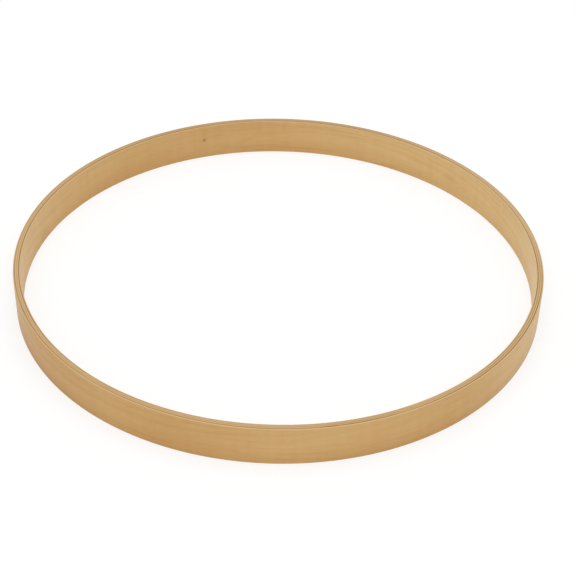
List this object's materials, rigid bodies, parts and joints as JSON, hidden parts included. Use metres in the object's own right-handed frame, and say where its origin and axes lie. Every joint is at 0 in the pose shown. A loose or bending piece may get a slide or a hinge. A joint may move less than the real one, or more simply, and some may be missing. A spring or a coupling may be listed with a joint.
{
  "type": "drum hoop",
  "caption": "Laminated maple counter hoop for a bass drum: a plain flat-edged wooden ring with rounded corners, which clamps the drum head to the shell.",
  "frame": {"origin": "centre of the hoop in the plane of its lower edge", "axes": "+Z is the hoop's axis, pointing from the lower edge to the upper edge; +X and +Y lie in the lower edge's plane, and the seam of the inner face ply is 146 degrees from +X towards +Y"},
  "size_m": [0.581, 0.581, 0.0444],
  "materials": {
    "maple_along": "satin clear lacquer over maple, with the grain running round the hoop",
    "maple_across": "satin clear lacquer over maple end grain, with the grain running across the hoop"
  },
  "bodies": {
    "root": {"inner_face_ply": "maple_along", "inner_cross_ply_a": "maple_across", "inner_cross_ply_b": "maple_across", "inner_long_ply": "maple_along", "middle_cross_ply_a": "maple_across", "middle_cross_ply_b": "maple_across", "outer_long_ply": "maple_along", "outer_cross_ply_a": "maple_across", "outer_cross_ply_b": "maple_across", "outer_face_ply": "maple_along"}
  },
  "joints": []
}
